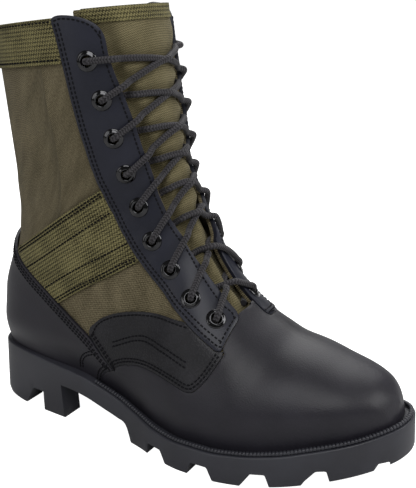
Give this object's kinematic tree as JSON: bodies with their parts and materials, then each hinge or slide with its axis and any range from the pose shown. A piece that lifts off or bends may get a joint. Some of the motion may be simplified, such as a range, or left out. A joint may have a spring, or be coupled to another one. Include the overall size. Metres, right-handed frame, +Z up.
{
  "type": "jungle boot",
  "caption": "Right jungle boot with leather foot, nylon shaft, webbing at collar and ankle, criss-cross lace and lugged rubber sole",
  "frame": {"origin": "middle of the bounding box on the floor, under the sole", "axes": "+X from heel to toe, +Y to the medial side, +Z up"},
  "size_m": [0.3084, 0.1078, 0.2785],
  "materials": {
    "sole_rubber": "satin",
    "smooth_leather": "soft gloss",
    "pebbled_leather": "matte, pebbled",
    "olive_nylon": "matte, woven",
    "green_webbing": "matte, ribbed",
    "black_metal": "gloss",
    "lace_cord": "matte, braided",
    "insole_board": "matte"
  },
  "bodies": {
    "root": {"outsole": "sole_rubber", "welt": "sole_rubber", "insole": "insole_board", "upper": "olive_nylon", "vamp": "smooth_leather", "counter": "smooth_leather", "saddle_lateral": "pebbled_leather", "saddle_medial": "pebbled_leather", "eyestay_lateral": "smooth_leather", "eyestay_medial": "smooth_leather", "tongue": "olive_nylon", "collar_webbing": "green_webbing", "ankle_webbing_lateral": "green_webbing", "ankle_webbing_medial": "green_webbing", "eyelet_lateral_1": "black_metal", "eyelet_lateral_2": "black_metal", "eyelet_lateral_3": "black_metal", "eyelet_lateral_4": "black_metal", "eyelet_lateral_5": "black_metal", "eyelet_lateral_6": "black_metal", "eyelet_lateral_7": "black_metal", "eyelet_lateral_8": "black_metal", "eyelet_lateral_9": "black_metal", "eyelet_medial_1": "black_metal", "eyelet_medial_2": "black_metal", "eyelet_medial_3": "black_metal", "eyelet_medial_4": "black_metal", "eyelet_medial_5": "black_metal", "eyelet_medial_6": "black_metal", "eyelet_medial_7": "black_metal", "eyelet_medial_8": "black_metal", "eyelet_medial_9": "black_metal", "lace_crossing_1": "lace_cord", "lace_crossing_2": "lace_cord", "lace_crossing_3": "lace_cord", "lace_crossing_4": "lace_cord", "lace_crossing_5": "lace_cord", "lace_crossing_6": "lace_cord", "lace_crossing_7": "lace_cord", "lace_crossing_8": "lace_cord"}
  },
  "joints": []
}
